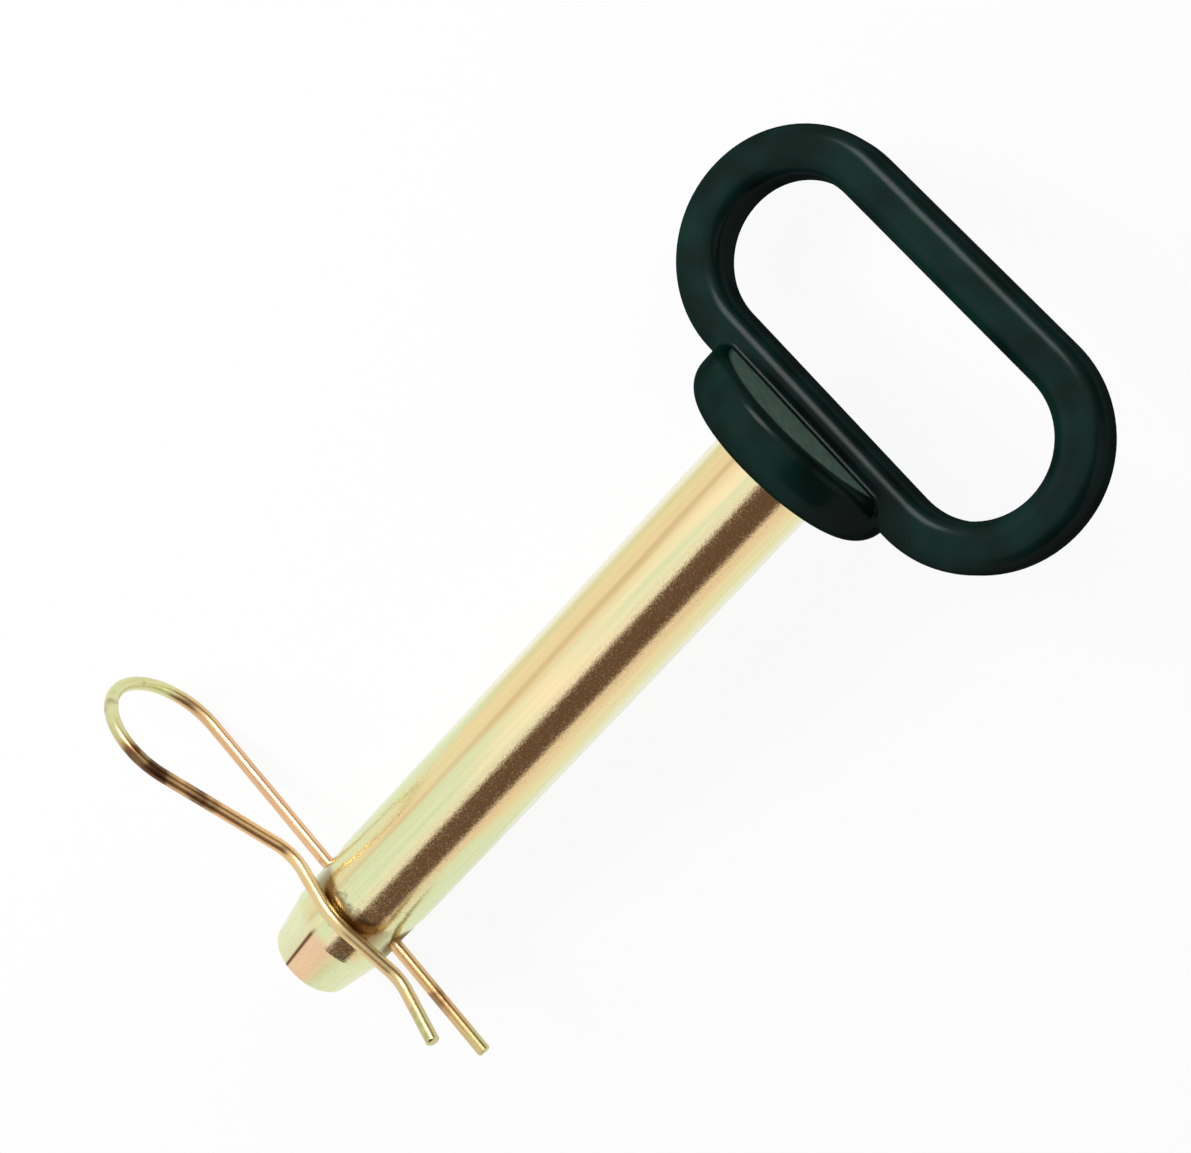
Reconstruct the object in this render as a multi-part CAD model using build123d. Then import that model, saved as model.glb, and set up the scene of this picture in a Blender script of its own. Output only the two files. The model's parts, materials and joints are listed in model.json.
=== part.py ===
from build123d import *
from math import asin, atan2, cos, hypot, radians, sin, tan
import os

# A hitch pin with a dipped head and a hairpin cotter, in millimetres.
#
# The pin is drawn upright first. Its axis is Z with the handle at the top, the
# underside of the collar lies on z = 0, and the handle's long axis is X.
# The last section lays the finished pieces down as the real pin comes to rest:
# on the rim of its collar, the edge where its tip begins, and the cotter's loop.

# Shank. The grip runs from the collar's underside to the relieved land that
# carries the cross hole; a burr raised there can then not bind in a drawbar.
GRIP_DIAMETER = 25.4
GRIP_LENGTH = 136.0
RELIEF = 0.4
HOLE_BELOW_GRIP = 8.0
TIP_BELOW_HOLE = 21.0
TIP_TAPER_LENGTH = 12.5
TIP_END_DIAMETER = 20.2
TIP_EDGE_RADIUS = 1.5

# Cross hole for the cotter, countersunk at both mouths. It is drilled a little
# out of line with the handle, turned from it about the pin's axis.
HOLE_DIAMETER = 5.0
COUNTERSINK_DIAMETER = 10.0
COUNTERSINK_ANGLE = 90.0
HOLE_CLOCKING = 6.0

# Head, measured over the coating.
COLLAR_DIAMETER = 51.6
COLLAR_THICKNESS = 12.2
COLLAR_TOP_RADIUS = 2.8
COLLAR_BOTTOM_RADIUS = 6.4
HANDLE_ARC_SPACING = 56.2
HANDLE_ARC_RADIUS = 21.4
BAR_WIDTH = 10.8
BAR_DEPTH = 12.6
BAR_EDGE_RADIUS = 4.0
BAR_SINK = 4.5
JOIN_RADIUS = 1.2
COATING = 1.6

# Hairpin cotter, bent from one wire. Radii are to the centre of the wire.
WIRE_DIAMETER = 3.2
WIRE_END_CHAMFER = 0.4
LEG_REACH = 44.8
LOOP_REACH = 56.8
LOOP_RADIUS = 16.6
NEAR_NECK_REACH = 16.0
NEAR_NECK_HEIGHT = 10.7
CROWN_RADIUS = 17.0
FAR_NECK_REACH = 20.0
FAR_NECK_HEIGHT = 9.4
NECK_RADIUS = 10.0
FLARE_ANGLE = 20.0
FLARE_REACH = 36.8
LEG_CLEARANCE = 0.1
CROWN_CLEARANCE = 0.15

# How near an edge has to be to the height or radius that it is looked for at.
SLIVER = 0.01

# Derived from the sizes above.
GRIP_RADIUS = GRIP_DIAMETER / 2
LAND_RADIUS = GRIP_RADIUS - RELIEF / 2
WIRE_RADIUS = WIRE_DIAMETER / 2
HOLE_Z = -GRIP_LENGTH - HOLE_BELOW_GRIP
TIP_Z = HOLE_Z - TIP_BELOW_HOLE
TAPER_Z = TIP_Z + TIP_TAPER_LENGTH
BAR_Z = COLLAR_THICKNESS - BAR_SINK + BAR_WIDTH / 2
HANDLE_Z = BAR_Z + HANDLE_ARC_RADIUS
LEG_HEIGHT = HOLE_DIAMETER / 2 - WIRE_RADIUS - LEG_CLEARANCE
CROWN_HEIGHT = LAND_RADIUS + WIRE_RADIUS + CROWN_CLEARANCE
LOOP_CENTRE = (-LOOP_REACH, LEG_HEIGHT + LOOP_RADIUS)


def collar_disc(inset):
    """The round collar, with its whole skin moved in by the inset."""
    thickness = COLLAR_THICKNESS - 2 * inset
    disc = Pos(0, 0, COLLAR_THICKNESS / 2) * Cylinder(COLLAR_DIAMETER / 2 - inset, thickness)
    rims = disc.edges().sort_by(Axis.Z)
    disc = fillet(rims[-1], COLLAR_TOP_RADIUS - inset)
    return fillet(disc.edges().sort_by(Axis.Z)[0], COLLAR_BOTTOM_RADIUS - inset)


def handle_ring(inset):
    """The oval handle: a racetrack ring of rounded section, standing in the XZ plane."""
    half_bar = BAR_WIDTH / 2 - inset
    outside = SlotCenterToCenter(HANDLE_ARC_SPACING, 2 * (HANDLE_ARC_RADIUS + half_bar))
    inside = SlotCenterToCenter(HANDLE_ARC_SPACING, 2 * (HANDLE_ARC_RADIUS - half_bar))
    outline = Plane.XZ * Pos(0, HANDLE_Z) * (outside - inside)
    ring = extrude(outline, BAR_DEPTH / 2 - inset, both=True)
    return fillet(ring.edges(), BAR_EDGE_RADIUS - inset)


def head(inset):
    """The whole head as one form: the coated outside at 0, the steel inside at the coating.

    The handle's lower bar is sunk into the collar, with a fillet along both of its sides.
    """
    whole = collar_disc(inset) + handle_ring(inset)
    top = COLLAR_THICKNESS - inset
    joins = whole.edges().filter_by(Axis.X).filter_by_position(Axis.Z, top - SLIVER, top + SLIVER)
    return fillet(joins, JOIN_RADIUS + inset)


def shank():
    """The turned shank up to its root in the collar, with relief, taper and rounded tip edge."""
    step = RELIEF / 2
    profile = Polyline(
        (0, COLLAR_THICKNESS / 2),
        (GRIP_RADIUS, COLLAR_THICKNESS / 2),
        (GRIP_RADIUS, -GRIP_LENGTH),
        (LAND_RADIUS, -GRIP_LENGTH - step),
        (LAND_RADIUS, TAPER_Z),
        (TIP_END_DIAMETER / 2, TIP_Z),
        (0, TIP_Z),
        close=True,
    )
    turned = revolve(Plane.XZ * make_face(profile), Axis.Z)
    end_edge = turned.edges().filter_by(GeomType.CIRCLE).sort_by(Axis.Z)[0]
    return fillet(end_edge, TIP_EDGE_RADIUS)


def hole_plane():
    """The cross hole's own frame: X along the hole towards the cotter's free ends, Y out
    through the side of the shank that the waved leg rides on."""
    turn = radians(HOLE_CLOCKING)
    along = (cos(turn), sin(turn), 0)
    return Plane(origin=(0, 0, HOLE_Z), x_dir=along, z_dir=(0, 0, -1))


def cross_hole():
    """The drill and the two countersinks, as one cutter."""
    frame = hole_plane()
    hole_radius = HOLE_DIAMETER / 2
    slope = tan(radians(COUNTERSINK_ANGLE / 2))
    wide_at = LAND_RADIUS + RELIEF + WIRE_DIAMETER
    narrow_at = LAND_RADIUS - (COUNTERSINK_DIAMETER / 2 - hole_radius) / slope
    mouth_radius = hole_radius + (wide_at - narrow_at) * slope
    cutter = Plane(frame.origin, z_dir=frame.x_dir) * Cylinder(hole_radius, 2 * GRIP_DIAMETER)
    for way in (1, -1):
        middle = frame.origin + frame.x_dir * way * (narrow_at + wide_at) / 2
        mouth = Cone(hole_radius, mouth_radius, wide_at - narrow_at)
        cutter += Plane(middle, z_dir=frame.x_dir * way) * mouth
    return cutter


def forged_pin():
    """Shank, flange and handle core as the single forging, drilled for the cotter."""
    core = head(COATING) + shank()
    root_edge = (
        core.edges()
        .filter_by(GeomType.CIRCLE)
        .filter_by(lambda e: abs(e.radius - GRIP_RADIUS) < SLIVER)
        .sort_by(Axis.Z)[-1]
    )
    return fillet(root_edge, COATING) - cross_hole()


def head_coating():
    """The dipped skin: the head's outside less the steel that it was dipped on."""
    return head(0) - head(COATING) - forged_pin()


def tangent_line(centre_a, radius_a, turn_a, centre_b, radius_b, turn_b):
    """Ends of the straight run between two bends. A bend's turn is 1 to the left, -1 to the right.

    The run leaves bend a and meets bend b at a tangent, so the centres stand off the
    run by their radii, each on the side that its bend turns to.
    """
    across, up = centre_b[0] - centre_a[0], centre_b[1] - centre_a[1]
    offset = turn_b * radius_b - turn_a * radius_a
    heading = atan2(up, across) - asin(offset / hypot(across, up))
    left = (-sin(heading), cos(heading))
    leave = [c - turn_a * radius_a * n for c, n in zip(centre_a, left)]
    meet = [c - turn_b * radius_b * n for c, n in zip(centre_b, left)]
    return tuple(leave), tuple(meet), heading


def bend_middle(centre, radius, turn, heading_in, heading_out):
    """The point half way round a bend, from the headings of the runs before and after it."""
    heading = (heading_in + heading_out) / 2
    return (centre[0] + turn * radius * sin(heading), centre[1] - turn * radius * cos(heading))


def cotter_path():
    """Centre line of the wire in the cotter's plane: straight runs joined by tangent bends.

    It starts at the cut end of the straight leg, goes back through the hole, round the
    loop, down to the near neck, over the crown above the shank, down to the far neck and
    out along the flare.
    """
    near_neck = (-NEAR_NECK_REACH, NEAR_NECK_HEIGHT + NECK_RADIUS)
    crown = (0, CROWN_HEIGHT - CROWN_RADIUS)
    far_neck = (FAR_NECK_REACH, FAR_NECK_HEIGHT + NECK_RADIUS)

    back_in, back_out, back = tangent_line(LOOP_CENTRE, LOOP_RADIUS, -1, near_neck, NECK_RADIUS, 1)
    rise_in, rise_out, rise = tangent_line(near_neck, NECK_RADIUS, 1, crown, CROWN_RADIUS, -1)
    fall_in, fall_out, fall = tangent_line(crown, CROWN_RADIUS, -1, far_neck, NECK_RADIUS, 1)
    flare = radians(FLARE_ANGLE)
    flare_in = (far_neck[0] + NECK_RADIUS * sin(flare), far_neck[1] - NECK_RADIUS * cos(flare))
    flare_rise = (FLARE_REACH - flare_in[0]) * tan(flare)
    flare_end = (FLARE_REACH, flare_in[1] + flare_rise)
    loop_in = (-LOOP_REACH, LEG_HEIGHT)
    half_turn = radians(180)

    return Wire([
        Line((LEG_REACH, LEG_HEIGHT), loop_in),
        ThreePointArc(loop_in, bend_middle(LOOP_CENTRE, LOOP_RADIUS, -1, half_turn, back), back_in),
        Line(back_in, back_out),
        ThreePointArc(back_out, bend_middle(near_neck, NECK_RADIUS, 1, back, rise), rise_in),
        Line(rise_in, rise_out),
        ThreePointArc(rise_out, bend_middle(crown, CROWN_RADIUS, -1, rise, fall), fall_in),
        Line(fall_in, fall_out),
        ThreePointArc(fall_out, bend_middle(far_neck, NECK_RADIUS, 1, fall, flare), flare_in),
        Line(flare_in, flare_end),
    ])


def hairpin_cotter():
    """The cotter: round wire swept along its centre line, its two cut ends chamfered."""
    path = cotter_path()
    section = Plane(origin=path @ 0, z_dir=path % 0) * Circle(WIRE_RADIUS)
    wire = sweep(section, path=path)
    ends = wire.faces().filter_by(GeomType.PLANE).edges()
    return hole_plane() * chamfer(ends, WIRE_END_CHAMFER)


def halve(is_low, low, high):
    """The value between low and high at which is_low stops being true."""
    for _ in range(40):
        middle = (low + high) / 2
        low, high = (middle, high) if is_low(middle) else (low, middle)
    return low


def corner_reach(corners, pitch):
    """How far turned corners reach below the pin's axis line when the handle end is pitched up.

    A corner is the radius, the height and the rounding of a circle about the axis.
    """
    return max(r * cos(pitch) - z * sin(pitch) + rounding for r, z, rounding in corners)


def handle_reach(down):
    """How far the handle's rounded outline reaches along a direction."""
    outer = HANDLE_ARC_RADIUS + BAR_WIDTH / 2 - BAR_EDGE_RADIUS
    arc = HANDLE_ARC_SPACING / 2 * abs(down.X) + outer * hypot(down.X, down.Z)
    side = (BAR_DEPTH / 2 - BAR_EDGE_RADIUS) * abs(down.Y)
    return HANDLE_Z * down.Z + arc + side + BAR_EDGE_RADIUS


def loop_reach(down):
    """How far the cotter's loop reaches along a direction."""
    frame = hole_plane()
    centre = frame.from_local_coords(Vector(*LOOP_CENTRE))
    in_plane = hypot(down.dot(frame.x_dir), down.dot(frame.y_dir))
    return centre.dot(down) + LOOP_RADIUS * in_plane + WIRE_RADIUS


def rest():
    """The downward direction when the pin lies at rest, and how far it reaches along it.

    Collar and shank touch the floor together, which gives the pitch of the axis. The
    pin then rolls towards the cotter's loop until the loop or the handle touches too.
    """
    collar = [
        (COLLAR_DIAMETER / 2 - COLLAR_BOTTOM_RADIUS, COLLAR_BOTTOM_RADIUS, COLLAR_BOTTOM_RADIUS),
        (COLLAR_DIAMETER / 2 - COLLAR_TOP_RADIUS, COLLAR_THICKNESS - COLLAR_TOP_RADIUS, COLLAR_TOP_RADIUS),
    ]
    shank_edges = [
        (GRIP_RADIUS, -GRIP_LENGTH, 0),
        (LAND_RADIUS, TAPER_Z, 0),
        (TIP_END_DIAMETER / 2 - TIP_EDGE_RADIUS, TIP_Z + TIP_EDGE_RADIUS, TIP_EDGE_RADIUS),
    ]
    steepest = radians(30)
    furthest = radians(60)
    pitch = halve(lambda p: corner_reach(shank_edges, p) < corner_reach(collar, p), 0, steepest)
    reach = corner_reach(collar, pitch)

    def down(roll):
        return Vector(-cos(pitch) * sin(roll), cos(pitch) * cos(roll), -sin(pitch))

    roll = halve(lambda r: max(handle_reach(down(r)), loop_reach(down(r))) < reach, 0, furthest)
    return down(roll), reach


def lay_down(pieces):
    """Turn the upright pieces to their rest and put the middle of their footprint on the origin."""
    down, reach = rest()
    up = -down
    towards_handle = Vector(0, 0, 1) - up * up.Z
    turned = Plane(origin=(0, 0, 0), x_dir=towards_handle, z_dir=up).location.inverse()
    boxes = [(turned * piece).bounding_box() for piece in pieces.values()]
    middle_x = (min(b.min.X for b in boxes) + max(b.max.X for b in boxes)) / 2
    middle_y = (min(b.min.Y for b in boxes) + max(b.max.Y for b in boxes)) / 2
    lying = Pos(-middle_x, -middle_y, reach) * turned
    return {name: lying * piece for name, piece in pieces.items()}, lying


def main():
    os.makedirs("parts", exist_ok=True)
    pieces = {
        "forged_pin": forged_pin(),
        "head_coating": head_coating(),
        "hairpin_cotter": hairpin_cotter(),
    }
    laid, lying = lay_down(pieces)
    for name, piece in laid.items():
        export_step(piece, f"parts/{name}.step")
    frame = Plane(lying)
    print("pin origin", frame.origin, "axis to handle", frame.z_dir, "handle long axis", frame.x_dir)
    hole = Plane(lying * hole_plane().location)
    print("cross hole", hole.origin, "towards the cotter's free ends", hole.x_dir)


main()
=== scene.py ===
"""Looks of a hitch pin: plated shank, dipped head and hairpin cotter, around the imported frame."""

from __future__ import annotations

import json
import logging
import math
from dataclasses import dataclass, field
from enum import Enum

import bpy
import numpy as np
from mathutils import Matrix, Vector


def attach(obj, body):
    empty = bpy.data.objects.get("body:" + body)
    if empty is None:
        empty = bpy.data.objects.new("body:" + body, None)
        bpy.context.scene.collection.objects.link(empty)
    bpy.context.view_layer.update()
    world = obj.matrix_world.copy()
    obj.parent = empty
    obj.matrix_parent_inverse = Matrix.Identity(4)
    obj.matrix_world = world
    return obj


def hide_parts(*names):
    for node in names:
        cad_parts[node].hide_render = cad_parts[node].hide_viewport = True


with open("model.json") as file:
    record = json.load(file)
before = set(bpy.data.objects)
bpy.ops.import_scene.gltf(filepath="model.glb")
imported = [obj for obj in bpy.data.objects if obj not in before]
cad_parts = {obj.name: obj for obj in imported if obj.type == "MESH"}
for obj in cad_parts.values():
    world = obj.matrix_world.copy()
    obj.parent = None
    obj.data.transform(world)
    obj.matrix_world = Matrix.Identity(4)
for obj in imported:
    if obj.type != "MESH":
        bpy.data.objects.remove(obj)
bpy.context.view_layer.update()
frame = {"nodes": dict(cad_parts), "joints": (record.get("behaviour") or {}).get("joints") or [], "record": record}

log = logging.getLogger("hitch_pin")

MM = 0.001
WHITE = (1.0, 1.0, 1.0, 1.0)


class Around(Enum):
    """Whether a surface's second parameter closes on itself."""

    CLOSED = "closed"
    OPEN = "open"


class Reach(Enum):
    """How a soft box reaches the part: mirrored in its gloss, or as plain light on its colour."""

    GLOSS = "gloss"
    BODY = "body"


def linear(hex_colour: str) -> tuple[float, float, float, float]:
    """Turns an sRGB hex colour into linear light, by the sRGB curve's straight foot and its power.

    Args:
        hex_colour: Six hex digits after a hash sign, and two more for an alpha below 1.

    Returns:
        Red, green and blue in linear light, and the alpha.
    """
    digits = hex_colour.lstrip("#").ljust(8, "F")
    *srgb, alpha = (int(digits[i : i + 2], 16) / 255 for i in range(0, 8, 2))
    red, green, blue = (c / 12.92 if c <= 0.04045 else ((c + 0.055) / 1.055) ** 2.4 for c in srgb)
    return red, green, blue, alpha


def add_node(
    tree: bpy.types.NodeTree, kind: str, settings: dict[str, object] | None = None, **sockets: object
) -> bpy.types.Node:
    """Adds one node with its settings and what goes into its sockets.

    Args:
        tree: The node tree that gets the node.
        kind: The node's type name.
        settings: Attributes of the node itself.
        **sockets: Input sockets by name, with underscores for spaces, or by number as _0, _1.
            A socket of another node is linked and anything else is set as the value.

    Returns:
        The new node.
    """
    node = tree.nodes.new(kind)
    for name, value in (settings or {}).items():
        setattr(node, name, value)
    for name, value in sockets.items():
        socket = node.inputs[int(name[1:])] if name[1:].isdigit() else node.inputs[name.replace("_", " ")]
        if isinstance(value, bpy.types.NodeSocket):
            tree.links.new(value, socket)
        else:
            socket.default_value = value
    return node


def blank_material(name: str) -> tuple[bpy.types.Material, bpy.types.NodeTree]:
    """Makes a material that has no nodes yet.

    Args:
        name: The material's name.

    Returns:
        The material and its node tree.
    """
    material = bpy.data.materials.new(name)
    material.use_nodes = True
    material.node_tree.nodes.clear()
    return material, material.node_tree


def fill_ramp(ramp: bpy.types.ColorRamp, stops: tuple[tuple[float, str], ...]) -> None:
    """Puts colours on a ramp.

    Args:
        ramp: The ramp to fill, with its two stops of a new node.
        stops: Places from 0 to 1 with their hex colours, in order.
    """
    for (at, colour), stop in zip((stops[0], stops[-1]), ramp.elements):
        stop.position, stop.color = at, linear(colour)
    for at, colour in stops[1:-1]:
        ramp.elements.new(at).color = linear(colour)


def dress(node_name: str, material: bpy.types.Material) -> None:
    """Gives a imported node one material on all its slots.

    Args:
        node_name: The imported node's name.
        material: What it is made of.
    """
    obj = frame["nodes"][node_name]
    obj.data.materials.clear()
    obj.data.materials.append(material)
    log.info("%s: %d faces, %s", node_name, len(obj.data.polygons), material.name)


def surface_mesh(name: str, grid: np.ndarray, around: Around) -> bpy.types.Mesh:
    """Skins a grid of points, and closes its two ends with a pole each where it closes around.

    Args:
        name: The mesh's name.
        grid: Points by their two parameters, of shape (along, around, 3), in metres.
        around: Whether the last point around joins the first.

    Returns:
        The mesh, smooth shaded.
    """
    rows, columns = grid.shape[:2]
    number = np.arange(rows * columns).reshape(rows, columns)
    points = grid.reshape(-1, 3)
    if around is Around.CLOSED:
        number = np.hstack([number, number[:, :1]])
        points = np.vstack([points, grid[0].mean(0), grid[-1].mean(0)])
    quads = np.stack([number[:-1, :-1], number[1:, :-1], number[1:, 1:], number[:-1, 1:]], -1).reshape(-1, 4)
    faces = quads.tolist()
    if around is Around.CLOSED:
        pole = np.full(columns, rows * columns)
        faces += np.stack([pole, number[0, :-1], number[0, 1:]], -1).tolist()
        faces += np.stack([pole + 1, number[-1, 1:], number[-1, :-1]], -1).tolist()
    mesh = bpy.data.meshes.new(name)
    mesh.from_pydata(points.tolist(), [], faces)
    mesh.polygons.foreach_set("use_smooth", np.ones(len(faces), bool))
    mesh.update()
    return mesh


def add_piece(
    name: str, mesh: bpy.types.Mesh, body: str, material: bpy.types.Material
) -> bpy.types.Object:
    """Puts a new piece in the scene, riding on its body.

    Args:
        name: The piece's name.
        mesh: Its shape, in place in the row frame.
        body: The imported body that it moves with.
        material: What it is made of.

    Returns:
        The new object.
    """
    obj = bpy.data.objects.new(name, mesh)
    bpy.context.scene.collection.objects.link(obj)
    mesh.materials.append(material)
    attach(obj, body)
    log.info("%s: %d faces, %s", name, len(mesh.polygons), material.name)
    return obj


@dataclass(frozen=True)
class PinFrame:
    """Where the pin lies: its axis towards the handle, and the cross hole through it.

    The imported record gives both. The shank's fit is a pin whose place is the middle of
    the grip, and the cotter's joint slides along the cross hole.
    """

    grip_length: float
    middle: Vector
    axis: Vector
    hole_along: Vector
    hole_below_grip: float = 8.0 * MM

    @classmethod
    def from_record(cls) -> PinFrame:
        """Reads the pin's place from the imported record.

        Returns:
            The pin's place.
        """
        shank = next(m for m in frame["record"]["mounts"] if m["name"] == "shank")
        pull = next(j for j in frame["joints"] if j["name"] == "cotter_pull")
        return cls(
            grip_length=shank["dims"]["length_mm"] * MM,
            middle=Vector(shank["pos_m"]),
            axis=-Vector(shank["axis"]).normalized(),
            hole_along=-Vector(pull["axis"]).normalized(),
        )

    @property
    def collar(self) -> Vector:
        """The middle of the collar's underside."""
        return self.middle + self.axis * self.grip_length / 2

    @property
    def hole(self) -> Vector:
        """The middle of the cross hole."""
        return self.middle - self.axis * (self.grip_length / 2 + self.hole_below_grip)

    @property
    def hole_up(self) -> Vector:
        """Out of the shank on the side that the waved leg rides on."""
        return self.hole_along.cross(self.axis)

    def coordinates(self, tree: bpy.types.NodeTree, origin: Vector) -> bpy.types.NodeSocket:
        """Gives a material the pin's own coordinates.

        Args:
            tree: The material's node tree.
            origin: Where the coordinates start, on the pin's axis.

        Returns:
            A vector in millimetres. Z runs along the axis towards the handle, X along the
            cross hole and -Y out of the shank on the side of the waved leg.
        """
        turned = Matrix((self.hole_along, -self.hole_up, self.axis)).transposed()
        at_object = add_node(tree, "ShaderNodeTexCoord").outputs["Object"]
        placed = add_node(
            tree,
            "ShaderNodeMapping",
            {"vector_type": "TEXTURE"},
            Vector=at_object,
            Location=origin,
            Rotation=turned.to_euler(),
            Scale=(MM, MM, MM),
        )
        return placed.outputs["Vector"]

    @staticmethod
    def off_axis(tree: bpy.types.NodeTree, pin_mm: bpy.types.NodeSocket) -> bpy.types.NodeSocket:
        """Gives a material the distance from the pin's axis, from the pin's coordinates."""
        flat = add_node(
            tree, "ShaderNodeVectorMath", {"operation": "MULTIPLY"}, _0=pin_mm, _1=(1, 1, 0)
        ).outputs["Vector"]
        return add_node(tree, "ShaderNodeVectorMath", {"operation": "LENGTH"}, _0=flat).outputs["Value"]


@dataclass(frozen=True)
class Bend:
    """One bend of the wire: its centre, its radius to the wire's middle and which way it turns."""

    centre: tuple[float, float]
    radius: float
    turn: int


@dataclass(frozen=True)
class DrawLines:
    """Fine lines that the drawing die leaves along cold-drawn steel.

    Real ones are finer than these, which are drawn as coarse as they need to show. Their
    spacing and height are in millimetres. Their slimness, by which coordinates count less
    along the steel, is a line's width over its length. They shade the colour between two
    factors.
    """

    spacing: float
    height: float
    slimness: tuple[float, float, float]
    shades: tuple[float, float]
    detail: float

    def mark(
        self, tree: bpy.types.NodeTree, at_mm: bpy.types.NodeSocket, colour: bpy.types.NodeSocket
    ) -> tuple[bpy.types.NodeSocket, bpy.types.NodeSocket]:
        """Shades a colour by the lines.

        Args:
            tree: The material's node tree.
            at_mm: Coordinates in millimetres.
            colour: The colour without lines.

        Returns:
            The colour with the lines, and how high the surface stands in them, from 0 to 1.
        """
        drawn_out = add_node(tree, "ShaderNodeMapping", Vector=at_mm, Scale=self.slimness).outputs["Vector"]
        ridges = add_node(
            tree,
            "ShaderNodeTexNoise",
            Vector=drawn_out,
            Scale=1 / self.spacing,
            Detail=self.detail,
            Roughness=0.6,
        ).outputs["Fac"]
        low, high = self.shades
        shade = add_node(
            tree, "ShaderNodeMapRange", Value=ridges, From_Min=0.3, From_Max=0.7, To_Min=low, To_Max=high
        )
        lined = add_node(
            tree,
            "ShaderNodeMix",
            {"data_type": "RGBA", "blend_type": "MULTIPLY"},
            Factor=1.0,
            _6=colour,
            _7=shade.outputs["Result"],
        )
        return lined.outputs[2], ridges


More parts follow.
